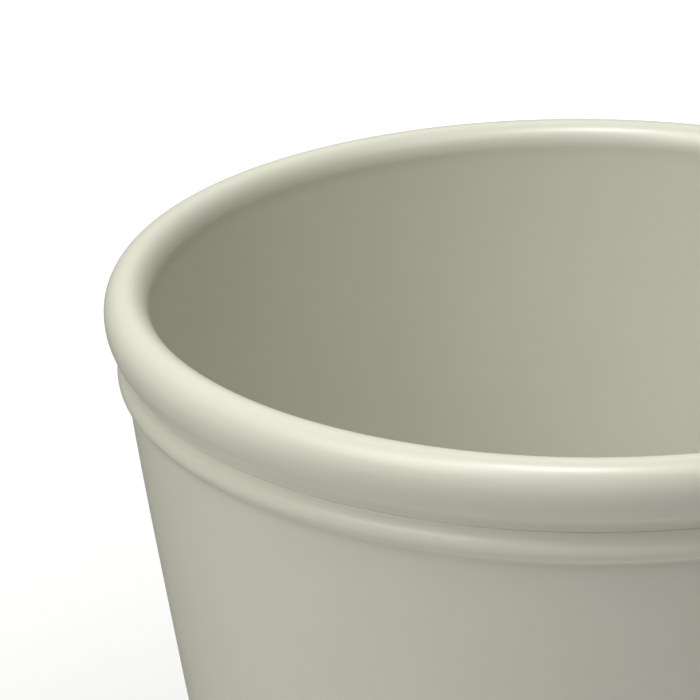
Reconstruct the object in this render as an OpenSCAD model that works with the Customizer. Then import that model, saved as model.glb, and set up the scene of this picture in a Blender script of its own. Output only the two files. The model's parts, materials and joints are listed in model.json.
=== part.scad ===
// Round self-watering planter: a planting pot with a rolled rim hangs inside a tapered outer
// pot that holds the water. Millimetres, +Z up, origin on the axis at the floor it stands on.

/* [Pots] */
// Outer diameter of the rolled rim
rim_d = 280; // [270:1:300]
// Overall height, from the rubber feet to the top of the rim
pot_h = 250; // [245:1:270]
// Wall lean: radius lost per millimetre of depth
taper = 0.152; // [0.14:0.001:0.16]
// Wall thickness of the outer pot
outer_wall = 2.8; // [2.4:0.1:3]
// Wall thickness of the planting pot
inner_wall = 2.6; // [2.2:0.1:2.8]
// Height of the planting pot's floor above the ground
floor_z = 78; // [76:1:80]

/* [Rim] */
// Half width of the rolled rim
bead_rx = 6.6; // [6:0.1:7]
// Height of the rolled rim above its widest line
bead_rz = 7.6; // [7:0.1:8]
// Radial half axis of the rim's lower curve
lip_rx = 8.3; // [7.9:0.1:8.6]
// Vertical half axis of the rim's lower curve
lip_rz = 11; // [10.6:0.1:11.4]
// Distance from the rim's widest line down to the ring's
ring_drop = 18.1; // [17.7:0.1:19]

/* [Wick cups] */
// Outer radius of a cup at the floor
cup_r = 24; // [20:1:25]
// Outer radius of a cup at its foot
cup_foot_r = 18; // [15:1:19]
// Distance of the cups from the axis
cup_pitch_r = 56; // [54:1:57]
// Slots round each cup
cup_slots = 8; // [6:2:12]

/* [Fill tube and water gauge] */
// Distance of both tubes from the axis, along X
tube_x = 76; // [74:1:77]
// Distance of each tube from the XZ plane
tube_y = 20; // [19:1:21]
// Outer radius of the fill tube
fill_r = 12.5; // [11:0.5:13]
// Outer radius of the gauge tube
gauge_r = 7.5; // [7.2:0.1:8]
// Height of the fill tube's mouth above the ground
mouth_z = 234; // [225:1:236]
// Highest point of the gauge window above the ground
window_z = 238; // [232:1:240]
// Height that the float can rise
float_rise = 32; // [25:1:32]

/* [Plugs and feet] */
// Radius of the two wall bores
port_r = 6.05; // [6:0.05:6.5]
// Height of the overflow port's centre
overflow_z = 62; // [58:1:63]
// Height of the drain port's centre
drain_z = 21; // [21:1:24]
// Height that the rubber feet hold the pot above the ground
foot_h = 1.5; // [1:0.1:2]

/* [Hidden] */
$fn = 96;
eps = 0.05;

sage = [0.69, 0.7, 0.64];
grey = [0.42, 0.44, 0.42];
rubber = [0.12, 0.12, 0.13];
clear = [0.85, 0.93, 0.95, 0.4];

// Rim and outer wall
rim_r = rim_d / 2;
bead_z = pot_h - bead_rz;
bead_r = rim_r - bead_rx;
lip_turn = atan(lip_rz / lip_rx);
groove_arc_r = 5.5;
groove_mid_r = rim_r - lip_rx + lip_rx * cos(lip_turn) + groove_arc_r * cos(45);
groove_z = bead_z - lip_rz * sin(lip_turn) - groove_arc_r * sin(45);
groove_r = groove_mid_r - groove_arc_r;
lip_in_r = groove_r - 1.6;
channel_r = rim_r - 4.4;
channel_z = pot_h - 4;
seat_gap = 0.15;
ledge_z = groove_z - seat_gap;
upstand_r = lip_in_r - 0.4;
upstand_z = channel_z - seat_gap;

// Ring under the rim, and the neck that fades into the straight wall
ring_r = rim_r - 3.3;
ring_z = bead_z - ring_drop;
crest_r = 4;
flare = 2 * atan((ring_r - groove_r) / (ledge_z - ring_z));
cove_arc_r = (ledge_z - ring_z) / sin(flare) - crest_r;
ring_under = 56;
neck_arc_r = 2.3;
neck_mid_r = ring_r - crest_r + (crest_r + neck_arc_r) * cos(ring_under);
neck_mid_z = ring_z - (crest_r + neck_arc_r) * sin(ring_under);
ring_foot_r = neck_mid_r - neck_arc_r * cos(4);
ring_foot_z = neck_mid_z + neck_arc_r * sin(4);
neck_fade = 22;
body_top_r = rim_r - 4.95;
body_top_z = bead_z - 21.7;

// Base of the outer pot
base_z = 6;
base_top = 9.5;
foot_ring_in = 86;
foot_pitch_r = 92;
foot_r = 6;
corner_r = 6;

// Planting pot
floor_under = floor_z - 3;
wall_in_r = rim_r - 2 * bead_rx;
aeration_r = 3;

// Gauge and float
cage_r = 17;
cage_top = floor_under - 0.2;
cage_foot = 11;
neck_z = floor_z - 12;
float_r = 13.2;
float_z = 13;
float_h = 20;
rod_r = 2;
marker_r = 4.4;
marker_h = 8;
window_foot = 184;
marker_z = 190;
tube_top = 190;

// Fill tube cap and its hinge
hinge_x = tube_x + 19;
hinge_z = mouth_z + 2;
pin_r = 1.5;
knuckle_r = 3.4;

function outer_r(z) = body_top_r - taper * (body_top_z - z);
function neck_point(t) =
    let (z = ring_foot_z - t, draw_in = outer_r(ring_foot_z) - ring_foot_r)
    [outer_r(z) - draw_in * exp(-t / neck_fade), z];
function inner_r(z) = wall_in_r - taper * (bead_z - z);
function arc(c, rx, rz, from, to, n) =
    [for (i = [0:n]) let (a = from + (to - from) * i / n) [c[0] + rx * cos(a), c[1] + rz * sin(a)]];

module at_cup(i) rotate(60 + 120 * i) translate([cup_pitch_r, 0, 0]) children();
module at_fill() translate([tube_x, -tube_y, 0]) children();
module at_gauge() translate([tube_x, tube_y, 0]) children();
module ring_solid(r_in, r_out, z0, z1) rotate_extrude()
    translate([r_in, z0]) square([r_out - r_in, z1 - z0]);

// Section of the outer pot, from the middle of its base out, up, over the upstand and back
outer_section = concat(
    [[0, base_z], [foot_ring_in - 2, base_z], [foot_ring_in, foot_h]],
    arc([outer_r(foot_h) - corner_r, foot_h + corner_r], corner_r, corner_r, 270, 352, 8),
    [for (t = [60, 45, 33, 23, 15, 9, 4.5, 1.5]) neck_point(t)],
    arc([neck_mid_r, neck_mid_z], neck_arc_r, neck_arc_r, 176, 180 - ring_under, 6),
    arc([ring_r - crest_r, ring_z], crest_r, crest_r, 8 - ring_under, flare, 10),
    arc([groove_r + cove_arc_r, ledge_z], cove_arc_r, cove_arc_r, 176 + flare, 180, 6),
    [[upstand_r, ledge_z], [upstand_r, upstand_z - 0.8], [upstand_r - 0.8, upstand_z]],
    [[upstand_r - outer_wall + 0.8, upstand_z], [upstand_r - outer_wall, upstand_z - 0.8]],
    [[upstand_r - outer_wall, body_top_z - (body_top_r - upstand_r) / taper]],
    arc([outer_r(base_top) - outer_wall - corner_r, base_top + corner_r],
        corner_r, corner_r, -8, -90, 8),
    [[0, base_top]]
);

// Section of the planting pot, from the middle of its floor out, up to the rolled rim and back
inner_section = concat(
    [[0, floor_under], [inner_r(floor_z) + inner_wall - 4, floor_under]],
    arc([inner_r(floor_z) + inner_wall - 4, floor_under + 4], 4, 4, -75, -15, 5),
    [[wall_in_r + inner_wall, bead_z - 4], [wall_in_r + inner_wall, channel_z]],
    [[channel_r, channel_z], [channel_r, bead_z - 4], [lip_in_r, groove_z + 2.5]],
    [[lip_in_r, groove_z]],
    arc([groove_mid_r, groove_z], groove_arc_r, groove_arc_r, 180, 135, 6),
    arc([rim_r - lip_rx, bead_z], lip_rx, lip_rz, 5 - lip_turn, 0, 9),
    arc([bead_r, bead_z], bead_rx, bead_rz, 8, 180, 24),
    [[wall_in_r - 0.3, bead_z - 4], [inner_r(floor_z + 5), floor_z + 5]],
    arc([inner_r(floor_z + 5) - 5, floor_z + 5], 5, 5, -15, -90, 6),
    [[0, floor_z]]
);

// Bore boss on the back wall, with its flat face at y
module port_boss(z, y) translate([0, y, z]) rotate([90, 0, 0]) cylinder(r = 12, h = 6);
module port_bore(z, y) translate([0, y + 1, z]) rotate([90, 0, 0]) cylinder(r = port_r, h = 14);
function port_face(z) = outer_r(z) + 2.8;

module outer_pot() color(sage) difference() {
    union() {
        rotate_extrude($fn = 180) polygon(outer_section);
        port_boss(overflow_z, port_face(overflow_z));
        port_boss(drain_z, port_face(drain_z));
    }
    port_bore(overflow_z, port_face(overflow_z));
    port_bore(drain_z, port_face(drain_z));
    for (i = [0:3]) rotate(45 + 90 * i) translate([foot_pitch_r, 0, 0])
        cylinder(r = foot_r + eps, h = foot_h + 1.5);
}

module rubber_foot(i) color(rubber) rotate(45 + 90 * (i - 1)) translate([foot_pitch_r, 0, 0])
    rotate_extrude() polygon([
        [0, 0], [foot_r - 0.6, 0], [foot_r, 0.6], [foot_r, foot_h + 1.4], [0, foot_h + 1.4],
    ]);

// Push-in plug: tapered tip, shank, round head and a grip bar, pointing out along +Y
module wall_plug(z) color(sage) translate([0, port_face(z), z]) {
    rotate([-90, 0, 0]) rotate_extrude() polygon([
        [0, -10], [port_r - 1.2, -10], [port_r - eps, -7.5], [port_r - eps, 1.7],
        [9.4, 1.7], [10, 2.3], [10, 4.2], [9.2, 5], [0, 5],
    ]);
    translate([-7.5, 4.9, -1.6]) cube([15, 5, 3.2]);
}

module wall_seal(z) color(rubber) translate([0, port_face(z) + 0.85, z]) rotate([-90, 0, 0])
    rotate_extrude() translate([7.6, 0]) circle(r = 0.8, $fn = 32);

module inner_pot() color(sage) difference() {
    rotate_extrude($fn = 180) polygon(inner_section);
    for (i = [0:2]) at_cup(i) translate([0, 0, floor_under - 1]) cylinder(r = cup_r + 0.4, h = 5);
    at_fill() translate([0, 0, floor_under - 1]) cylinder(r = fill_r + 0.2, h = 5);
    at_gauge() translate([0, 0, floor_under - 1]) cylinder(r = gauge_r + 0.2, h = 5);
    for (i = [0:5]) rotate(30 + 60 * i) translate([22, 0, floor_under - 1])
        cylinder(r = aeration_r, h = 5);
    for (i = [2:16]) rotate(20 * i) translate([88, 0, floor_under - 1])
        cylinder(r = aeration_r, h = 5);
}

module spacer_pad(i) color(rubber) rotate(120 * i - 60) {
    pad_z = floor_z + 16;
    translate([inner_r(pad_z) + inner_wall + 0.1, 0, pad_z]) rotate([0, 90 + atan(taper), 0])
        cylinder(r1 = 7, r2 = 6, h = 4.2);
}

module soil_mat() color([0.3, 0.31, 0.3]) difference() {
    translate([0, 0, floor_z + 0.1]) cylinder(r = 95, h = 2.5, $fn = 180);
    for (i = [0:2]) at_cup(i) translate([0, 0, floor_z - 1]) cylinder(r = cup_r + 4.5, h = 5);
    at_fill() translate([0, 0, floor_z - 1]) cylinder(r = fill_r + 6, h = 5);
    at_gauge() translate([0, 0, floor_z - 1]) cylinder(r = gauge_r + 8, h = 5);
    at_gauge() translate([0, -gauge_r, floor_z - 1]) cube([40, 2 * gauge_r, 5]);
}

module wick_cup(i) color(grey) at_cup(i - 1) difference() {
    rotate_extrude() polygon([
        [0, base_top + 1], [cup_foot_r - 1, base_top + 1], [cup_foot_r, base_top + 2],
        [cup_r, floor_z], [cup_r, floor_z + 0.2], [cup_r + 3, floor_z + 0.2],
        [cup_r + 3, floor_z + 2.2], [cup_r - 1.8, floor_z + 2.2],
        [cup_foot_r - 1.8, base_top + 3], [0, base_top + 3],
    ]);
    for (k = [0:cup_slots / 2 - 1]) rotate(360 / cup_slots * (k + 0.5))
        translate([-cup_r - 2, -1.5, base_top + 9]) cube([2 * cup_r + 4, 3, 44]);
    for (k = [0:4]) rotate(72 * k) translate([9, 0, base_top]) cylinder(r = 2.2, h = 5);
}

// Hinge ear: a round lug with the pin's hole, on a web that grows out of the tube's mouth
module hinge_ear(y0) translate([hinge_x, y0, hinge_z]) rotate([-90, 0, 0]) difference() {
    union() {
        cylinder(r = knuckle_r, h = 3);
        translate([-10, 0, 0]) cube([10, 4.6, 3]);
        translate([-10, -knuckle_r + 1.4, 0]) cube([4.4, 4, 3]);
    }
    translate([0, 0, -1]) cylinder(r = pin_r + 0.02, h = 5);
}

module fill_tube() color(grey) {
    at_fill() rotate_extrude() polygon([
        [fill_r - 1.8, floor_z - 14], [fill_r, floor_z - 14], [fill_r, floor_z + 1.6],
        [fill_r + 4.5, floor_z + 1.6], [fill_r + 4.5, floor_z + 3.6], [fill_r, floor_z + 4.6],
        [fill_r, mouth_z - 8], [fill_r + 2.5, mouth_z - 3], [fill_r + 2.5, mouth_z],
        [fill_r - 0.8, mouth_z], [fill_r - 1.8, mouth_z - 4],
    ]);
    difference() {
        union() {
            hinge_ear(-tube_y - 8.4);
            hinge_ear(-tube_y + 5.4);
        }
        at_fill() translate([0, 0, mouth_z - 10]) cylinder(r = fill_r + 1, h = 10);
        at_fill() translate([0, 0, mouth_z]) cylinder(r = fill_r + 4, h = 10);
    }
}

module fill_tube_seal() color(rubber)
    at_fill() ring_solid(fill_r + 0.2, fill_r + 4, floor_z + 0.1, floor_z + 1.5);

module fill_strainer() color(grey) at_fill() difference() {
    rotate_extrude() polygon([
        [0, base_top + 2], [fill_r - 0.5, base_top + 2], [fill_r + 1.8, base_top + 5],
        [fill_r + 1.8, floor_under - 0.5], [fill_r + 0.1, floor_under - 0.5],
        [fill_r + 0.1, floor_z - 14.1], [fill_r - 1.4, floor_z - 14.1],
        [fill_r - 1.4, base_top + 5], [0, base_top + 4],
    ]);
    for (k = [0:4]) rotate(36 * k)
        translate([-fill_r - 3, -1, base_top + 8]) cube([2 * fill_r + 6, 2, 36]);
}

module fill_cap() color(sage) {
    difference() {
        union() {
            at_fill() rotate_extrude() polygon([
                [0, mouth_z - 2.7], [fill_r - 3.7, mouth_z - 2.7], [fill_r - 2.9, mouth_z - 1.9],
                [fill_r - 2.9, mouth_z + 0.3], [fill_r + 3, mouth_z + 0.3],
                [fill_r + 3.4, mouth_z + 0.7], [fill_r + 3.4, mouth_z + 2],
                [fill_r + 2.6, mouth_z + 2.8], [0, mouth_z + 2.8],
            ]);
            translate([hinge_x, -tube_y - 5, hinge_z]) rotate([-90, 0, 0])
                cylinder(r = knuckle_r, h = 10);
            translate([hinge_x - 6, -tube_y - 5, mouth_z + 0.3]) cube([6, 10, 2.5]);
            translate([tube_x - fill_r - 8, -tube_y - 5, mouth_z + 0.4]) cube([8, 10, 2.2]);
        }
        translate([hinge_x, -tube_y - 8, hinge_z]) rotate([-90, 0, 0])
            cylinder(r = pin_r + 0.06, h = 16);
    }
}

module cap_hinge_pin() color([0.7, 0.7, 0.72])
    translate([hinge_x, -tube_y - 8.9, hinge_z]) rotate([-90, 0, 0]) cylinder(r = pin_r, h = 17.8);

module gauge_tube() color(grey) at_gauge() rotate_extrude() polygon([
    [gauge_r - 1.8, neck_z], [gauge_r, neck_z], [gauge_r, floor_z + 1.6],
    [gauge_r + 6, floor_z + 1.6], [gauge_r + 6, floor_z + 3.6], [gauge_r, floor_z + 4.6],
    [gauge_r, tube_top], [gauge_r - 1.8, tube_top],
]);

module gauge_seal() color(rubber)
    at_gauge() ring_solid(gauge_r + 0.2, gauge_r + 5, floor_z + 0.1, floor_z + 1.5);

// Clear window: a socket over the tube's end, a straight bore and a domed top
module gauge_window() color(clear) at_gauge() rotate_extrude() difference() {
    union() {
        translate([0, window_foot]) square([gauge_r + 1.7, 8]);
        translate([0, window_foot]) square([gauge_r, window_z - gauge_r - window_foot]);
        intersection() {
            translate([0, window_z - gauge_r]) circle(r = gauge_r);
            translate([0, window_z - gauge_r]) square(gauge_r);
        }
    }
    translate([-1, window_foot - 1]) square([gauge_r + 1.1, tube_top - window_foot + 1.1]);
    translate([-1, window_foot]) square([gauge_r - 0.8, window_z - gauge_r - window_foot]);
}

// Clip that ties the two tubes together
module tube_clip() color(grey) translate([0, 0, 168]) difference() {
    union() {
        at_fill() cylinder(r = fill_r + 2.2, h = 8);
        at_gauge() cylinder(r = gauge_r + 2.2, h = 8);
        translate([tube_x - 3, -tube_y, 0]) cube([6, 2 * tube_y, 8]);
    }
    at_fill() translate([0, 0, -1]) cylinder(r = fill_r + 0.1, h = 10);
    at_gauge() translate([0, 0, -1]) cylinder(r = gauge_r + 0.1, h = 10);
}

module rod_guide() color([0.85, 0.85, 0.82])
    at_gauge() ring_solid(rod_r + 0.5, gauge_r - 1.9, neck_z + 0.5, neck_z + 6.5);

module float_cage() color(grey) at_gauge() difference() {
    rotate_extrude() polygon([
        [gauge_r + 0.1, cage_top], [cage_r - 1, cage_top], [cage_r, cage_top - 1],
        [cage_r, cage_foot], [8, cage_foot], [8, cage_foot + 1.4], [cage_r - 1.8, cage_foot + 1.4],
        [cage_r - 1.8, cage_top - 3], [gauge_r + 0.1, cage_top - 3],
    ]);
    for (k = [0:3]) rotate(22.5 + 45 * k)
        translate([-cage_r - 1, -3, cage_foot + 8]) cube([2 * cage_r + 2, 6, 44]);
}

module float() color([0.93, 0.93, 0.9]) at_gauge() rotate_extrude() polygon([
    [rod_r + 0.1, float_z], [float_r - 2, float_z], [float_r, float_z + 2],
    [float_r, float_z + float_h - 2], [float_r - 2, float_z + float_h],
    [rod_r + 0.1, float_z + float_h],
]);

module float_rod() color([0.9, 0.9, 0.88]) at_gauge() translate([0, 0, cage_foot + 0.4])
    cylinder(r = rod_r, h = marker_z + 4 - cage_foot, $fn = 48);

module float_clip() color([0.6, 0.6, 0.62])
    at_gauge() ring_solid(rod_r + 0.05, rod_r + 2.6, float_z - 1.3, float_z - 0.1);

module level_marker() color([0.85, 0.2, 0.12]) at_gauge() rotate_extrude() polygon([
    [rod_r + 0.05, marker_z], [marker_r, marker_z], [marker_r, marker_z + marker_h - 1.5],
    [marker_r - 1.5, marker_z + marker_h], [0, marker_z + marker_h],
    [0, marker_z + 4.5], [rod_r + 0.05, marker_z + 4.5],
]);

outer_pot();
rubber_foot(1);  // rubber_foot_1
rubber_foot(2);  // rubber_foot_2
rubber_foot(3);  // rubber_foot_3
rubber_foot(4);  // rubber_foot_4
wall_plug(overflow_z);  // overflow_plug
wall_seal(overflow_z);  // overflow_seal
wall_plug(drain_z);  // drain_plug
wall_seal(drain_z);  // drain_seal
inner_pot();
spacer_pad(1);  // spacer_pad_1
spacer_pad(2);  // spacer_pad_2
spacer_pad(3);  // spacer_pad_3
soil_mat();
wick_cup(1);  // wick_cup_1
wick_cup(2);  // wick_cup_2
wick_cup(3);  // wick_cup_3
fill_tube();
fill_tube_seal();
fill_strainer();
fill_cap();
cap_hinge_pin();
gauge_tube();
gauge_seal();
gauge_window();
tube_clip();
rod_guide();
float_cage();
float();
float_rod();
float_clip();
level_marker();
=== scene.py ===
"""Looks of the self-watering planter: camera, studio light, materials and the detailed pieces."""

import json
import math

import bmesh
import bpy
from mathutils import Matrix, Vector, noise

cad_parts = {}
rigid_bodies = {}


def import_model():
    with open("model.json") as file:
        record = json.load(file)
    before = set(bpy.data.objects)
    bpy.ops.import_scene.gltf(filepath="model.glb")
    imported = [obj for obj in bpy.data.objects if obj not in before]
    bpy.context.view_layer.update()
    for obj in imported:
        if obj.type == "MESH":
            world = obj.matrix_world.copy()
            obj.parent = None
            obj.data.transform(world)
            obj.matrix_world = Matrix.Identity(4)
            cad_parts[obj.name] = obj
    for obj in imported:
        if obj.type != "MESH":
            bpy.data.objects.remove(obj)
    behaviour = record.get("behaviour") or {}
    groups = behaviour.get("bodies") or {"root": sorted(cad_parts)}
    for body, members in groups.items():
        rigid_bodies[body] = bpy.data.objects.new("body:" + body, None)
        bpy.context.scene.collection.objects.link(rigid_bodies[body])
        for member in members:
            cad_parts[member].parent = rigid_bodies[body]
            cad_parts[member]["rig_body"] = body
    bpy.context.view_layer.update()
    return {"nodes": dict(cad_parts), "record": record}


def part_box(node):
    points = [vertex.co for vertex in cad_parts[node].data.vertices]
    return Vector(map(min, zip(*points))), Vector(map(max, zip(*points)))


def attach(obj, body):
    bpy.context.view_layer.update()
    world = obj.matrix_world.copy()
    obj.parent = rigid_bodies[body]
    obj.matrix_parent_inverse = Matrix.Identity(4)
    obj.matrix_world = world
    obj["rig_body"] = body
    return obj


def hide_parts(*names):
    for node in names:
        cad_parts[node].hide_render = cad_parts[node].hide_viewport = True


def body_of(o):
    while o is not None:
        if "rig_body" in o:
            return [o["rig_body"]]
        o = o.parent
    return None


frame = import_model()

MM = 0.001

# ---------------------------------------------------------------- main sizes

RIM_R = 140 * MM
POT_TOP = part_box("inner_pot")[1].z
BEAD_RX = 6.6 * MM      # half width and half height of the rim's roll
BEAD_RZ = 7.6 * MM
BEAD_Z = POT_TOP - BEAD_RZ
TAPER = 0.152           # how far the walls lean in for each unit down

# ---------------------------------------------------------------- camera

CAMERA_DISTANCE = 8 * RIM_R     # a choice: the photo leaves it open from about 4 to 14
CAMERA_HEIGHT_ANGLE = math.radians(21.87)
CAMERA_YAW = math.radians(-3.77)
CAMERA_PITCH = math.radians(0.81)
CAMERA_ROLL = math.radians(-0.93)
FOCAL_RATIO = 5.459     # focal length over sensor width


def make_camera():
    """Looks down over the rim from the front, turned a little left so that the pot is on the right."""
    data = bpy.data.cameras.new("camera")
    data.sensor_width = 36
    data.lens = data.sensor_width * FOCAL_RATIO
    data.clip_start = 0.05
    data.clip_end = 50
    camera = bpy.data.objects.new("camera", data)
    bpy.context.scene.collection.objects.link(camera)
    place = Vector((0, -math.cos(CAMERA_HEIGHT_ANGLE), math.sin(CAMERA_HEIGHT_ANGLE)))
    down = CAMERA_HEIGHT_ANGLE + CAMERA_PITCH
    forward = Vector((
        math.sin(CAMERA_YAW) * math.cos(down),
        math.cos(CAMERA_YAW) * math.cos(down),
        -math.sin(down),
    ))
    level_right = forward.cross(Vector((0, 0, 1))).normalized()
    level_up = level_right.cross(forward)
    right = math.cos(CAMERA_ROLL) * level_right + math.sin(CAMERA_ROLL) * level_up
    up = math.cos(CAMERA_ROLL) * level_up - math.sin(CAMERA_ROLL) * level_right
    turn = Matrix((right, up, -forward)).transposed()
    camera.matrix_world = Matrix.Translation(
        Vector((0, 0, BEAD_Z)) + place * CAMERA_DISTANCE
    ) @ turn.to_4x4()
    bpy.context.scene.camera = camera


# ---------------------------------------------------------------- materials

def node(tree, kind, place, **values):
    """A new node with its sockets and properties set."""
    made = tree.nodes.new(kind)
    made.location = place
    for name, value in values.items():
        if name in made.inputs:
            made.inputs[name].default_value = value
        else:
            setattr(made, name, value)
    return made


def surface(name, color, variation=0.03, patch=14, roughness=0.4, rough_span=0.06,
            grain=1400, bump=0.05, depth=0.00005, detail=4, stretch=(1, 1, 1), **shader):
    """A procedural surface: slow colour patches, uneven gloss and a fine grain in the relief."""
    material = bpy.data.materials.new(name)
    material.use_nodes = True
    tree = material.node_tree
    principled = tree.nodes["Principled BSDF"]
    for socket, value in shader.items():
        principled.inputs[socket.replace("_", " ")].default_value = value
    coords = node(tree, "ShaderNodeTexCoord", (-1300, 0))
    mapping = node(tree, "ShaderNodeMapping", (-1100, 0), Scale=stretch)
    tree.links.new(coords.outputs["Object"], mapping.inputs["Vector"])
    patches = node(tree, "ShaderNodeTexNoise", (-880, 200), Scale=patch, Detail=3.0)
    fine = node(tree, "ShaderNodeTexNoise", (-880, -200), Scale=grain, Detail=float(detail))
    for texture in (patches, fine):
        tree.links.new(mapping.outputs["Vector"], texture.inputs["Vector"])
    ramp = node(tree, "ShaderNodeValToRGB", (-640, 260))
    ramp.color_ramp.elements[0].position = 0.3
    ramp.color_ramp.elements[0].color = (*[c * (1 - variation) for c in color], 1)
    ramp.color_ramp.elements[1].position = 0.7
    ramp.color_ramp.elements[1].color = (*[min(1, c * (1 + variation)) for c in color], 1)
    tree.links.new(patches.outputs["Fac"], ramp.inputs["Fac"])
    tree.links.new(ramp.outputs["Color"], principled.inputs["Base Color"])
    gloss = node(tree, "ShaderNodeMapRange", (-640, -20))
    gloss.inputs["To Min"].default_value = roughness - rough_span / 2
    gloss.inputs["To Max"].default_value = roughness + rough_span / 2
    tree.links.new(fine.outputs["Fac"], gloss.inputs["Value"])
    tree.links.new(gloss.outputs["Result"], principled.inputs["Roughness"])
    relief = node(tree, "ShaderNodeBump", (-640, -300), Strength=bump, Distance=depth)
    tree.links.new(fine.outputs["Fac"], relief.inputs["Height"])
    tree.links.new(relief.outputs["Normal"], principled.inputs["Normal"])
    return material


SAGE = (0.647, 0.645, 0.537)
GREY = (0.13, 0.14, 0.13)

pot_plastic = surface("pot_plastic", SAGE, variation=0.012, roughness=0.36, rough_span=0.04,
                      grain=900, bump=0.03, IOR=1.7)
plug_plastic = surface("plug_plastic", [c * 0.86 for c in SAGE], roughness=0.42)
insert_plastic = surface("insert_plastic", GREY, variation=0.06, roughness=0.55, grain=2600,
                         bump=0.25)
rubber = surface("rubber", (0.022, 0.022, 0.024), variation=0.15, roughness=0.72, grain=1800,
                 bump=0.3)
felt = surface("felt", (0.06, 0.064, 0.06), variation=0.25, patch=60, roughness=0.95, grain=1500,
               bump=0.9, depth=0.0004, detail=8, Sheen_Weight=0.5, Sheen_Roughness=0.6)
clear_plastic = surface("clear_plastic", (0.92, 0.97, 0.97), variation=0.0, roughness=0.05,
                        rough_span=0.02, bump=0.01, Transmission_Weight=1.0, IOR=1.49)
foam = surface("foam", (0.8, 0.8, 0.76), variation=0.03, roughness=0.85, grain=1100, bump=0.5,
               depth=0.0002)
white_plastic = surface("white_plastic", (0.74, 0.74, 0.7), roughness=0.3)
marker_plastic = surface("marker_plastic", (0.6, 0.03, 0.015), variation=0.04, roughness=0.25)
steel = surface("steel", (0.62, 0.62, 0.64), variation=0.05, roughness=0.24, grain=700, bump=0.1,
                stretch=(1, 0.05, 1), Metallic=1.0)

SLOT_MATERIALS = {
    "pot": pot_plastic,
    "plug": plug_plastic,
    "insert": insert_plastic,
    "rubber": rubber,
    "felt": felt,
    "clear": clear_plastic,
    "foam": foam,
    "white": white_plastic,
    "marker": marker_plastic,
    "steel": steel,
}


def paint_cad_nodes():
    """Each CAD node takes the material of its record slot."""
    for part in frame["record"]["subparts"]:
        piece = frame["nodes"][part["node"]]
        piece.data.materials.clear()
        piece.data.materials.append(SLOT_MATERIALS[part["material_slot"]])


# ---------------------------------------------------------------- mesh helpers

def arc(centre, radius_r, radius_z, start, end, steps):
    """Points along part of an ellipse; angles in degrees, 0 outwards and 90 up."""
    points = []
    for i in range(steps + 1):
        angle = math.radians(start + (end - start) * i / steps)
        r = centre[0] + radius_r * math.cos(angle)
        z = centre[1] + radius_z * math.sin(angle)
        points.append((r, z))
    return points


def new_piece(name, bm, material, smooth_angle=35):
    """Turns a bmesh into a linked object, smooth except across edges sharper than the angle."""
    bmesh.ops.recalc_face_normals(bm, faces=bm.faces)
    mesh = bpy.data.meshes.new(name)
    bm.to_mesh(mesh)
    bm.free()
    mesh.shade_smooth()
    mesh.set_sharp_from_angle(angle=math.radians(smooth_angle))
    mesh.materials.append(material)
    piece = bpy.data.objects.new(name, mesh)
    bpy.context.scene.collection.objects.link(piece)
    return piece


def lathe(outline, segments=96, place=(0, 0, 0)):
    """Revolves a closed outline of (r, z) points about a vertical axis through place."""
    bm = bmesh.new()
    rings = []
    for r, z in outline:
        if r < 1e-7:
            rings.append([bm.verts.new((place[0], place[1], place[2] + z))])
            continue
        rings.append([
            bm.verts.new((
                place[0] + r * math.cos(2 * math.pi * i / segments),
                place[1] + r * math.sin(2 * math.pi * i / segments),
                place[2] + z,
            ))
            for i in range(segments)
        ])
    count = len(rings)
    for k in range(count):
        a, b = rings[k], rings[(k + 1) % count]
        if len(a) == 1 and len(b) == 1:
            continue
        for i in range(segments):
            j = (i + 1) % segments
            corners = [a[i % len(a)], a[j % len(a)], b[j % len(b)], b[i % len(b)]]
            bm.faces.new(list(dict.fromkeys(corners)))
    return bm


def rod(start, end, radius, segments=64):
    """A plain cylinder from start to end, as a bmesh, for cutting holes and joining bosses."""
    bm = bmesh.new()
    start, end = Vector(start), Vector(end)
    turn = (end - start).to_track_quat("Z", "Y").to_matrix().to_4x4()
    bmesh.ops.create_cone(
        bm, cap_ends=True, segments=segments, radius1=radius, radius2=radius,
        depth=(end - start).length, matrix=Matrix.Translation((start + end) / 2) @ turn,
    )
    return bm


def join(parts):
    """One bmesh holding all the given ones, which don't touch each other."""
    whole = bmesh.new()
    for part in parts:
        mesh = bpy.data.meshes.new("part")
        part.to_mesh(mesh)
        part.free()
        whole.from_mesh(mesh)
        bpy.data.meshes.remove(mesh)
    return whole


def prism(corners, low, high, matrix):
    """A polygon of (x, y) corners drawn out along Z from low to high, then placed by the matrix."""
    bm = bmesh.new()
    foot = [bm.verts.new((x, y, low)) for x, y in corners]
    top = [bm.verts.new((x, y, high)) for x, y in corners]
    bm.faces.new(foot[::-1])
    bm.faces.new(top)
    for i in range(len(foot)):
        k = (i + 1) % len(foot)
        bm.faces.new((foot[i], foot[k], top[k], top[i]))
    bmesh.ops.transform(bm, matrix=matrix, verts=bm.verts)
    return bm


def bar(low, high, edge=0.0):
    """A box from the low to the high corner, its edges rounded off by the given radius."""
    bm = bmesh.new()
    low, high = Vector(low), Vector(high)
    size = Matrix.Diagonal((*(high - low), 1))
    bmesh.ops.create_cube(bm, size=1, matrix=Matrix.Translation((low + high) / 2) @ size)
    if edge:
        bmesh.ops.bevel(bm, geom=list(bm.edges), offset=edge, segments=4, profile=0.5,
                        affect="EDGES")
    return bm


def turned(bm, matrix):
    """The bmesh itself, moved by the matrix."""
    bmesh.ops.transform(bm, matrix=matrix, verts=bm.verts)
    return bm


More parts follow.
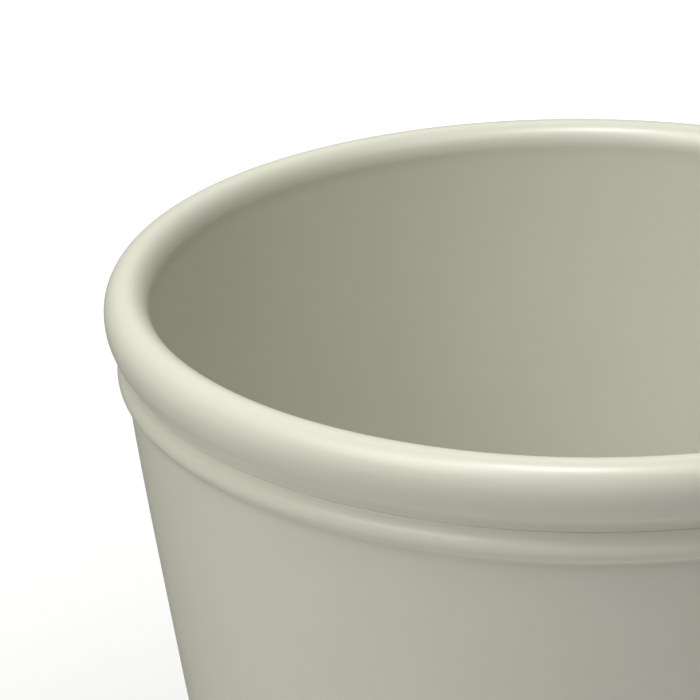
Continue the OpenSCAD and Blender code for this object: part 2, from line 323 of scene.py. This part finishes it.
def combine(piece, tools, operation, smooth_angle=35):
    """Adds the tools to the piece, or cuts them out of it, and applies the result."""
    for tool_bm in tools:
        mesh = bpy.data.meshes.new("tool")
        tool_bm.to_mesh(mesh)
        tool_bm.free()
        tool = bpy.data.objects.new("tool", mesh)
        bpy.context.scene.collection.objects.link(tool)
        modifier = piece.modifiers.new("combine", "BOOLEAN")
        modifier.operation = operation
        modifier.solver = "EXACT"
        modifier.object = tool
        evaluated = piece.evaluated_get(bpy.context.evaluated_depsgraph_get())
        result = bpy.data.meshes.new_from_object(evaluated)
        piece.modifiers.clear()
        material = piece.data.materials[0]
        piece.data = result
        result.materials.clear()
        result.materials.append(material)
        bpy.data.objects.remove(tool)
    piece.data.shade_smooth()
    piece.data.set_sharp_from_angle(angle=math.radians(smooth_angle))
    return piece


def stands_for(piece, body, slot, *nodes):
    """The piece rides on a body and replaces CAD nodes. The slot argument is not used."""
    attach(piece, body)
    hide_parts(*nodes)
    return piece


# ---------------------------------------------------------------- the two pots

LIP_RX = 8.3 * MM
LIP_RZ = 11 * MM
LIP_TURN = math.atan(LIP_RZ / LIP_RX)
GROOVE_ARC_R = 5.5 * MM
GROOVE_MID_R = RIM_R - LIP_RX + LIP_RX * math.cos(LIP_TURN) + GROOVE_ARC_R * math.sqrt(0.5)
GROOVE_Z = BEAD_Z - LIP_RZ * math.sin(LIP_TURN) - GROOVE_ARC_R * math.sqrt(0.5)
GROOVE_R = GROOVE_MID_R - GROOVE_ARC_R
LIP_IN_R = GROOVE_R - 1.6 * MM
CHANNEL_R = RIM_R - 4.4 * MM
CHANNEL_Z = POT_TOP - 4 * MM
SEAT_GAP = 0.04 * MM    # drawn tighter than the CAD's 0.15 mm, so that the seam is a fine line
LEDGE_Z = GROOVE_Z - SEAT_GAP
UPSTAND_R = LIP_IN_R - 0.4 * MM
UPSTAND_Z = CHANNEL_Z - SEAT_GAP
UPSTAND_EDGE = 0.8 * MM
RING_R = RIM_R - 3.3 * MM
RING_Z = BEAD_Z - 18.1 * MM
CREST_R = 4 * MM
FLARE = 2 * math.atan((RING_R - GROOVE_R) / (LEDGE_Z - RING_Z))
COVE_ARC_R = (LEDGE_Z - RING_Z) / math.sin(FLARE) - CREST_R
RING_UNDER = math.radians(56)
NECK_ARC_R = 2.3 * MM
NECK_MID_R = RING_R - CREST_R + (CREST_R + NECK_ARC_R) * math.cos(RING_UNDER)
NECK_MID_Z = RING_Z - (CREST_R + NECK_ARC_R) * math.sin(RING_UNDER)
RING_FOOT_R = NECK_MID_R - NECK_ARC_R * math.cos(math.radians(4))
RING_FOOT_Z = NECK_MID_Z + NECK_ARC_R * math.sin(math.radians(4))
NECK_FADE = 22 * MM
BODY_TOP_R = RIM_R - 4.95 * MM
BODY_TOP_Z = BEAD_Z - 21.7 * MM
WALL_IN_R = RIM_R - 2 * BEAD_RX
INNER_WALL = 2.6 * MM
OUTER_WALL = 2.8 * MM
FLOOR_Z = 78 * MM
FLOOR_UNDER = 75 * MM
FLOOR_CORNER_R = 5 * MM
CUP_HOLE_R = 24.4 * MM
AIR_HOLE_R = 3 * MM
TUBE_PLAY = 0.2 * MM
FOOT_H = 1.5 * MM
BASE_Z = 6 * MM
BASE_TOP = 9.5 * MM
POT_SEGMENTS = 288
PORT_HEIGHTS = (62 * MM, 21 * MM)
PORT_R = 6.05 * MM
FOOT_SOCKET_R = 6.05 * MM
FILL_AT = (76 * MM, -20 * MM)
GAUGE_AT = (76 * MM, 20 * MM)
FILL_R = 12.5 * MM
GAUGE_R = 7.5 * MM
MOUTH_Z = 234 * MM
WINDOW_FOOT = 184 * MM
WINDOW_Z = 238 * MM
TUBE_TOP = 190 * MM
LEVELS = (199 * MM, 227 * MM)   # of the rings at low and full water


def outer_radius(z):
    """Outside radius of the outer pot's straight wall at a height."""
    return BODY_TOP_R - TAPER * (BODY_TOP_Z - z)


def neck_point(depth):
    """Outline point of the wall a depth below the ring, where it draws in a little."""
    z = RING_FOOT_Z - depth
    draw_in = outer_radius(RING_FOOT_Z) - RING_FOOT_R
    return outer_radius(z) - draw_in * math.exp(-depth / NECK_FADE), z


def inner_radius(z):
    """Inside radius of the planting pot's wall at a height."""
    return WALL_IN_R - TAPER * (BEAD_Z - z)


def polar(radius, degrees):
    """The (x, y) of a point at a distance and an angle from the axis."""
    return radius * math.cos(math.radians(degrees)), radius * math.sin(math.radians(degrees))


def cup_at(i):
    """Where wick cup i stands, counted from 0."""
    return polar(56 * MM, 60 + 120 * i)


def port_face(z):
    """How far back the flat face of a wall boss lies."""
    return outer_radius(z) + OUTER_WALL


def port_matrix(z):
    """Turns a shape made about Z so that it points backwards out of a wall boss."""
    return Matrix.Translation((0, port_face(z), z)) @ Matrix.Rotation(math.radians(-90), 4, "X")


def make_inner_pot():
    """The planting pot: floor, leaning wall and the rolled rim with its hanging lip."""
    lip_turn = math.degrees(LIP_TURN)
    corner = inner_radius(FLOOR_Z) + INNER_WALL - 4 * MM
    inside = inner_radius(FLOOR_Z + FLOOR_CORNER_R)
    outline = [(0, FLOOR_UNDER)]
    outline += arc((corner, FLOOR_UNDER + 4 * MM), 4 * MM, 4 * MM, -90, -10, 8)
    outline += [(WALL_IN_R + INNER_WALL, BEAD_Z - 4 * MM), (WALL_IN_R + INNER_WALL, CHANNEL_Z)]
    outline += [(CHANNEL_R, CHANNEL_Z), (CHANNEL_R, BEAD_Z - 4 * MM)]
    outline += [(LIP_IN_R, GROOVE_Z + 2.5 * MM), (LIP_IN_R, GROOVE_Z)]
    outline += [(GROOVE_R - 0.2 * MM, GROOVE_Z)]
    outline += arc((GROOVE_MID_R, GROOVE_Z), GROOVE_ARC_R, GROOVE_ARC_R, 178, 135, 10)
    outline += arc((RIM_R - LIP_RX, BEAD_Z), LIP_RX, LIP_RZ, 3 - lip_turn, 0, 20)
    outline += arc((RIM_R - BEAD_RX, BEAD_Z), BEAD_RX, BEAD_RZ, 4, 180, 48)
    outline += [(WALL_IN_R - 0.3 * MM, BEAD_Z - 4 * MM)]
    corner_mid = (inside - FLOOR_CORNER_R, FLOOR_Z + FLOOR_CORNER_R)
    outline += arc(corner_mid, FLOOR_CORNER_R, FLOOR_CORNER_R, -8, -90, 10)
    outline += [(0, FLOOR_Z)]
    piece = new_piece("planting_pot", lathe(outline, POT_SEGMENTS), pot_plastic)
    holes = [(FILL_AT, FILL_R + TUBE_PLAY), (GAUGE_AT, GAUGE_R + TUBE_PLAY)]
    holes += [(cup_at(i), CUP_HOLE_R) for i in range(3)]
    holes += [(polar(22 * MM, 30 + 60 * i), AIR_HOLE_R) for i in range(6)]
    holes += [(polar(88 * MM, 20 * i), AIR_HOLE_R) for i in range(2, 17)]
    cutters = [
        rod((x, y, FLOOR_UNDER - 1 * MM), (x, y, FLOOR_Z + 1 * MM), radius, 48)
        for (x, y), radius in holes
    ]
    combine(piece, [join(cutters)], "DIFFERENCE")
    return stands_for(piece, "planting_body", "pot", "inner_pot")


def make_outer_pot():
    """The outer pot: foot ring, leaning wall, ring and cove, and the edge under the rim."""
    corner_r = 6 * MM
    outline = [(0, BASE_Z), (84 * MM, BASE_Z), (86 * MM, FOOT_H)]
    foot_mid = (outer_radius(FOOT_H) - corner_r, FOOT_H + corner_r)
    outline += arc(foot_mid, corner_r, corner_r, -90, -8, 12)
    outline += [neck_point(depth * MM) for depth in (90, 70, 54, 42, 32, 24, 17, 12, 8, 5, 2.5, 1)]
    under, flare = math.degrees(RING_UNDER), math.degrees(FLARE)
    outline += arc((NECK_MID_R, NECK_MID_Z), NECK_ARC_R, NECK_ARC_R, 176, 180 - under, 10)
    outline += arc((RING_R - CREST_R, RING_Z), CREST_R, CREST_R, 5 - under, flare, 20)
    outline += arc((GROOVE_R + COVE_ARC_R, LEDGE_Z), COVE_ARC_R, COVE_ARC_R, 177 + flare, 182, 10)
    upstand_in_r = UPSTAND_R - OUTER_WALL
    wall_joins = BODY_TOP_Z - (BODY_TOP_R - UPSTAND_R) / TAPER
    outline += [(GROOVE_R - 0.2 * MM, LEDGE_Z), (UPSTAND_R, LEDGE_Z)]
    outline += [(UPSTAND_R, UPSTAND_Z - UPSTAND_EDGE), (UPSTAND_R - UPSTAND_EDGE, UPSTAND_Z)]
    outline += [(upstand_in_r + UPSTAND_EDGE, UPSTAND_Z), (upstand_in_r, UPSTAND_Z - UPSTAND_EDGE)]
    outline += [(upstand_in_r, wall_joins)]
    inside = outer_radius(BASE_TOP) - OUTER_WALL - corner_r
    outline += arc((inside, BASE_TOP + corner_r), corner_r, corner_r, -8, -90, 12)
    outline += [(0, BASE_TOP)]
    piece = new_piece("outer_shell", lathe(outline, POT_SEGMENTS), pot_plastic)
    bosses, cutters = [], []
    for z in PORT_HEIGHTS:
        boss = [(0, -6 * MM), (12 * MM, -6 * MM)]
        boss += arc((11.2 * MM, -0.8 * MM), 0.8 * MM, 0.8 * MM, 0, 90, 4)
        bosses.append(turned(lathe(boss + [(0, 0)], 72), port_matrix(z)))
        face = port_face(z)
        cutters.append(rod((0, face + 1 * MM, z), (0, face - 13 * MM, z), PORT_R, 64))
    for i in range(4):
        x, y = polar(92 * MM, 45 + 90 * i)
        cutters.append(rod((x, y, 0), (x, y, FOOT_H + 1.5 * MM), FOOT_SOCKET_R, 48))
    combine(piece, [join(bosses)], "UNION")
    combine(piece, [join(cutters)], "DIFFERENCE")
    return stands_for(piece, "outer_body", "pot", "outer_pot")


# ---------------------------------------------------------------- small pieces

def softened(name, edge=0.3 * MM, smooth_angle=40):
    """A copy of a CAD node with its sharp edges rounded off, in place of the node."""
    source = frame["nodes"][name]
    bm = bmesh.new()
    bm.from_mesh(source.data)
    bmesh.ops.transform(bm, matrix=source.matrix_world, verts=bm.verts)
    bmesh.ops.remove_doubles(bm, verts=bm.verts, dist=1e-6)
    bmesh.ops.dissolve_limit(bm, angle_limit=math.radians(0.5), verts=bm.verts, edges=bm.edges)
    sharp = [
        line for line in bm.edges
        if len(line.link_faces) == 2 and line.calc_face_angle() > math.radians(32)
    ]
    bmesh.ops.bevel(bm, geom=sharp, offset=edge, segments=2, profile=0.5, affect="EDGES",
                    clamp_overlap=True)
    slot = next(
        part["material_slot"] for part in frame["record"]["subparts"] if part["node"] == name
    )
    piece = new_piece(name + "_piece", bm, SLOT_MATERIALS[slot], smooth_angle)
    return stands_for(piece, body_of(source)[0], slot, name)


SOFTENED_NODES = (
    "rubber_foot_1", "rubber_foot_2", "rubber_foot_3", "rubber_foot_4",
    "spacer_pad_1", "spacer_pad_2", "spacer_pad_3", "wick_cup_1", "wick_cup_2", "wick_cup_3",
    "fill_tube", "fill_strainer", "gauge_tube", "tube_clip", "float_cage", "float", "level_marker",
)


def make_wall_plug(name, body, node, z):
    """Push-in plug: shank with a groove for its O-ring, dished head and a ribbed grip bar."""
    outline = [(0, -10 * MM), (4.4 * MM, -10 * MM), (5.0 * MM, -9.6 * MM)]
    outline += [(6.0 * MM, -7.5 * MM), (6.0 * MM, -5.4 * MM), (5.7 * MM, -5.0 * MM)]
    outline += [(5.7 * MM, -4.4 * MM), (6.0 * MM, -4.0 * MM), (6.0 * MM, 1.7 * MM)]
    outline += arc((9.3 * MM, 2.4 * MM), 0.7 * MM, 0.7 * MM, -90, 0, 5)
    outline += arc((9.0 * MM, 4.0 * MM), 1 * MM, 1 * MM, 0, 90, 6)
    outline += [(8.2 * MM, 5 * MM), (7.7 * MM, 4.6 * MM), (0, 4.6 * MM)]
    place = port_matrix(z)
    piece = new_piece(name, turned(lathe(outline, 96), place), plug_plastic)
    grip = bar((-7.5 * MM, -1.6 * MM, 4.2 * MM), (7.5 * MM, 1.6 * MM, 9.9 * MM), 0.9 * MM)
    combine(piece, [turned(grip, place)], "UNION")
    ribs = []
    for k in range(5):
        x = (k - 2) * 2.6 * MM
        for y in (-1.85 * MM, 1.85 * MM):
            start = place @ Vector((x, y, 5.4 * MM))
            end = place @ Vector((x, y, 11 * MM))
            ribs.append(rod(start, end, 0.6 * MM, 20))
    combine(piece, [join(ribs)], "DIFFERENCE")
    return stands_for(piece, body, "plug", node)


def make_fill_cap():
    """The fill tube's cap: rounded lid with a raised water drop, hinge knuckle and ribbed tab."""
    x0, y0 = FILL_AT
    hinge_x, hinge_z = x0 + 19 * MM, MOUTH_Z + 2 * MM
    low, high = MOUTH_Z + 0.3 * MM, MOUTH_Z + 2.8 * MM
    plug_r, lid_r = FILL_R - 2.9 * MM, FILL_R + 3.4 * MM
    outline = [(0, MOUTH_Z - 2.7 * MM)]
    outline += arc((plug_r - 0.7 * MM, MOUTH_Z - 2.0 * MM), 0.7 * MM, 0.7 * MM, -90, 0, 5)
    outline += [(plug_r, low)]
    outline += arc((lid_r - 0.5 * MM, low + 0.5 * MM), 0.5 * MM, 0.5 * MM, -90, 0, 4)
    outline += arc((lid_r - 1.1 * MM, high - 1.1 * MM), 1.1 * MM, 1.1 * MM, 0, 90, 6)
    outline += [(lid_r - 2.2 * MM, high), (lid_r - 2.8 * MM, high - 0.5 * MM), (0, high - 0.5 * MM)]
    piece = new_piece("cap_lid", lathe(outline, 120, (x0, y0, 0)), plug_plastic)
    web = bar((hinge_x - 6 * MM, y0 - 5 * MM, low), (hinge_x, y0 + 5 * MM, high), 0.3 * MM)
    knuckle = rod((hinge_x, y0 - 5 * MM, hinge_z), (hinge_x, y0 + 5 * MM, hinge_z), 3.4 * MM, 64)
    tab_x = x0 - FILL_R
    tab = bar((tab_x - 8 * MM, y0 - 5 * MM, low + 0.1 * MM), (tab_x, y0 + 5 * MM, low + 2.3 * MM),
              0.8 * MM)
    combine(piece, [tab, web, knuckle], "UNION")
    drop = [(5.2 * MM, 0)]
    for degrees in range(62, 299, 12):
        x, y = polar(2.9 * MM, degrees)
        drop.append((x - 1.6 * MM, y))
    place = Matrix.Translation((x0, y0, 0))
    combine(piece, [prism(drop, high - 0.9 * MM, high - 0.15 * MM, place)], "UNION")
    grooves = []
    groove_z = low + 2.55 * MM
    for k in range(3):
        x = tab_x - (6.8 - 1.5 * k) * MM
        grooves.append(rod((x, y0 - 6 * MM, groove_z), (x, y0 + 6 * MM, groove_z), 0.55 * MM, 20))
    bore = rod((hinge_x, y0 - 8 * MM, hinge_z), (hinge_x, y0 + 8 * MM, hinge_z), 1.56 * MM, 40)
    combine(piece, [join(grooves), bore], "DIFFERENCE")
    return stands_for(piece, "fill_cap_body", "plug", "fill_cap")


def make_gauge_window():
    """Clear gauge window: socket, straight bore and a dome that is hollow here and solid in the CAD."""
    straight = WINDOW_Z - GAUGE_R
    socket_r = GAUGE_R + 1.7 * MM
    socket_z = WINDOW_FOOT + 7.4 * MM
    outline = [(GAUGE_R + 0.1 * MM, WINDOW_FOOT), (GAUGE_R + 1.3 * MM, WINDOW_FOOT)]
    outline += [(socket_r, WINDOW_FOOT + 0.4 * MM), (socket_r, socket_z)]
    outline += arc((socket_r - 0.6 * MM, socket_z), 0.6 * MM, 0.6 * MM, 0, 90, 4)
    outline += [(GAUGE_R, WINDOW_FOOT + 8 * MM)]
    for level in LEVELS:
        outline += [(GAUGE_R, level - 0.5 * MM), (GAUGE_R - 0.25 * MM, level - 0.3 * MM)]
        outline += [(GAUGE_R - 0.25 * MM, level + 0.3 * MM), (GAUGE_R, level + 0.5 * MM)]
    outline += arc((0, straight), GAUGE_R, GAUGE_R, 0, 87, 22)
    outline += [(0, WINDOW_Z), (0, WINDOW_Z - 0.9 * MM)]
    outline += arc((0, straight), GAUGE_R - 0.8 * MM, GAUGE_R - 0.9 * MM, 86, 0, 18)
    outline += [(GAUGE_R - 0.8 * MM, TUBE_TOP + 0.1 * MM), (GAUGE_R + 0.1 * MM, TUBE_TOP + 0.1 * MM)]
    piece = new_piece("level_window", lathe(outline, 96, (*GAUGE_AT, 0)), clear_plastic)
    return stands_for(piece, "planting_body", "clear", "gauge_window")


def make_soil_mat():
    """The felt mat on the floor: a cut disc, a little wavy and fuzzy, with a soft edge."""
    radius, under, over = 95 * MM, FLOOR_Z + 0.15 * MM, FLOOR_Z + 2.4 * MM
    outline = [(0, under)] + [(radius * k / 40, under) for k in range(1, 40)]
    outline += arc((radius - 0.9 * MM, (under + over) / 2), 0.9 * MM, (over - under) / 2, -80, 80, 8)
    outline += [(radius * k / 60, over) for k in range(59, 0, -1)] + [(0, over)]
    piece = new_piece("soil_felt", lathe(outline, 240), felt, 60)
    holes = [(cup_at(i), 28.5 * MM) for i in range(3)] + [(FILL_AT, 18.5 * MM)]
    cutters = [
        rod((x, y, under - 2 * MM), (x, y, over + 2 * MM), hole_r, 96) for (x, y), hole_r in holes
    ]
    x, y = GAUGE_AT
    notch = []
    for degrees in range(30, 331, 6):
        reach, aside = polar(15.5 * MM, degrees)
        notch.append((x + reach, y + aside))
    notch += [(x + 40 * MM, y - 7.5 * MM), (x + 40 * MM, y + 7.5 * MM)]
    cutters.append(prism(notch, under - 2 * MM, over + 2 * MM, Matrix.Identity(4)))
    combine(piece, [join(cutters)], "DIFFERENCE", 60)
    middle = (under + over) / 2
    for vertex in piece.data.vertices:
        if vertex.co.z > middle:
            wave = noise.noise(vertex.co * 45) * 0.22 * MM + noise.noise(vertex.co * 420) * 0.1 * MM
            vertex.co.z += min(0.1 * MM, wave)
    stands_for(piece, "planting_body", "felt", "soil_mat")
    return piece


# ---------------------------------------------------------------- floor and light

FLOOR_RADIUS = 30
GLOW_START = 0.2        # distances from the pot's axis between which the floor's glow comes up
GLOW_FULL = 2
LAMP_AIM = Vector((0, 0, 0.2))
LAMP_DISTANCE = 2.2


def make_floor():
    """A pale floor that the camera sees as white away from the pot. Its glow lights nothing."""
    bm = bmesh.new()
    bmesh.ops.create_circle(bm, cap_ends=True, segments=96, radius=FLOOR_RADIUS)
    paint = surface("floor_paint", (0.82, 0.82, 0.81), variation=0.005, patch=2, roughness=0.6,
                    grain=60, bump=0.02, Emission_Color=(1, 1, 1, 1))
    tree = paint.node_tree
    coords = node(tree, "ShaderNodeTexCoord", (-900, -600))
    distance = node(tree, "ShaderNodeVectorMath", (-700, -600), operation="LENGTH")
    fade = node(tree, "ShaderNodeMapRange", (-500, -600))
    fade.inputs["From Min"].default_value = GLOW_START
    fade.inputs["From Max"].default_value = GLOW_FULL
    fade.inputs["To Max"].default_value = 1
    tree.links.new(coords.outputs["Object"], distance.inputs[0])
    tree.links.new(distance.outputs["Value"], fade.inputs["Value"])
    path = node(tree, "ShaderNodeLightPath", (-500, -900))
    seen = node(tree, "ShaderNodeMath", (-300, -700), operation="MULTIPLY")
    tree.links.new(fade.outputs["Result"], seen.inputs[0])
    tree.links.new(path.outputs["Is Camera Ray"], seen.inputs[1])
    tree.links.new(seen.outputs["Value"], tree.nodes["Principled BSDF"].inputs["Emission Strength"])
    floor = new_piece("floor", bm, paint)
    floor.visible_glossy = False


def softbox(name, side, height, size, power, shows_in_gloss=True):
    """A square light aimed at the pot, placed by its angle from the front to the right (side) and
    above the floor (height), in degrees. It can be kept out of the reflections."""
    data = bpy.data.lights.new(name, "AREA")
    data.shape = "SQUARE"
    data.size = size
    data.energy = power
    lamp = bpy.data.objects.new(name, data)
    bpy.context.scene.collection.objects.link(lamp)
    side, height = math.radians(side), math.radians(height)
    away = Vector((
        math.cos(height) * math.sin(side),
        -math.cos(height) * math.cos(side),
        math.sin(height),
    ))
    lamp.location = LAMP_AIM + away * LAMP_DISTANCE
    lamp.rotation_mode = "QUATERNION"
    lamp.rotation_quaternion = away.to_track_quat("Z", "Y")
    lamp.visible_glossy = shows_in_gloss


def make_world(light, backdrop):
    """Very weak even light all round, and a pale backdrop where the camera looks past the floor."""
    world = bpy.data.worlds.new("studio")
    world.use_nodes = True
    tree = world.node_tree
    path = node(tree, "ShaderNodeLightPath", (-600, 0))
    strength = node(tree, "ShaderNodeMapRange", (-300, 0))
    strength.inputs["To Min"].default_value = light
    strength.inputs["To Max"].default_value = backdrop
    tree.links.new(path.outputs["Is Camera Ray"], strength.inputs["Value"])
    background = tree.nodes["Background"]
    background.inputs["Color"].default_value = (1, 1, 1, 1)
    tree.links.new(strength.outputs["Result"], background.inputs["Strength"])
    bpy.context.scene.world = world


make_camera()
make_floor()
make_world(light=0.01, backdrop=1)
softbox("top", -15, 76, 0.4, 16)
softbox("key", -45, 45, 1.4, 18)
softbox("high", -45, 60, 0.8, 4.5)
softbox("left", -90, 45, 1.4, 15, shows_in_gloss=False)
softbox("right", 45, 60, 1.4, 11)
softbox("back", 180, 45, 1.4, 21, shows_in_gloss=False)
bpy.context.scene.view_settings.view_transform = "Standard"

paint_cad_nodes()
make_inner_pot()
make_outer_pot()
make_wall_plug("overflow_stopper", "overflow_plug_body", "overflow_plug", PORT_HEIGHTS[0])
make_wall_plug("drain_stopper", "drain_plug_body", "drain_plug", PORT_HEIGHTS[1])
make_fill_cap()
make_gauge_window()
make_soil_mat()
for name in SOFTENED_NODES:
    softened(name)
